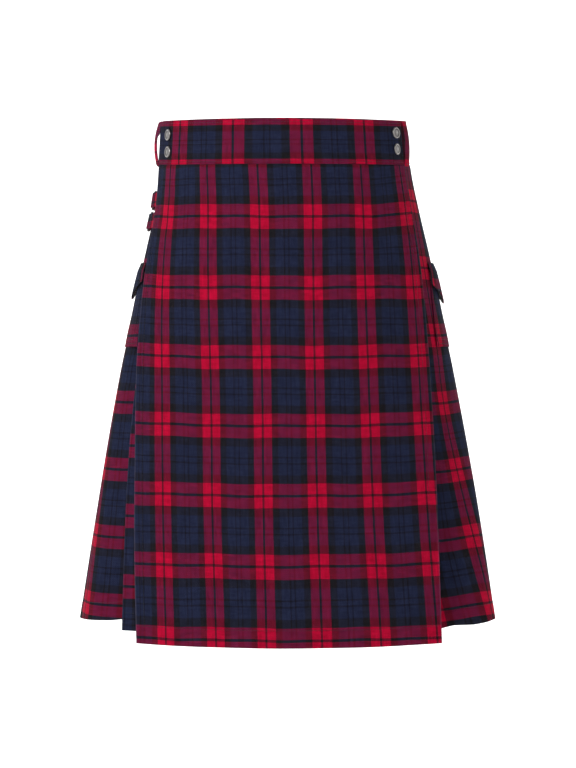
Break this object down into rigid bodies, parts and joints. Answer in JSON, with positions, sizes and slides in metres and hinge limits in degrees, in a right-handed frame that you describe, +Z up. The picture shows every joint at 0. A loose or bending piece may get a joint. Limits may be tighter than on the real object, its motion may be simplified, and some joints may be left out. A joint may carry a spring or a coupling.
{
  "type": "tartan kilt",
  "caption": "Wrap-over tartan kilt with a flat front apron, pleated sides and back, belt loops, snaps and hip pockets, filled out as if worn.",
  "frame": {"origin": "middle of the waist, level with the middle of the waistband at the front, where a wearer holds the kilt up", "axes": "+Z up, the front faces -Y, +X towards the wearer's left hip"},
  "size_m": [0.4936, 0.3638, 0.6351],
  "materials": {
    "tartan": "brushed cotton twill, red, navy and black tartan",
    "black_lining": "plain black woven lining",
    "snap_metal": "antique silver plated metal"
  },
  "bodies": {
    "root": {"band_front": "tartan", "band_back": "tartan", "band_under": "tartan", "apron_over": "tartan", "apron_under": "tartan", "skirt_left": "tartan", "skirt_right": "tartan", "belt_loop_left": "tartan", "belt_loop_right": "tartan", "belt_loop_back": "tartan", "snap_cap_left_upper": "snap_metal", "snap_cap_left_lower": "snap_metal", "snap_cap_right_upper": "snap_metal", "snap_cap_right_lower": "snap_metal", "hip_strap_upper": "tartan", "hip_strap_lower": "tartan", "hip_tab_upper": "tartan", "hip_tab_lower": "tartan", "hip_ring_upper": "snap_metal", "hip_ring_lower": "snap_metal", "pocket_left": "tartan", "pocket_right": "tartan", "flap_left": "tartan", "flap_right": "tartan", "flap_lining_left": "black_lining", "flap_lining_right": "black_lining"}
  },
  "joints": []
}
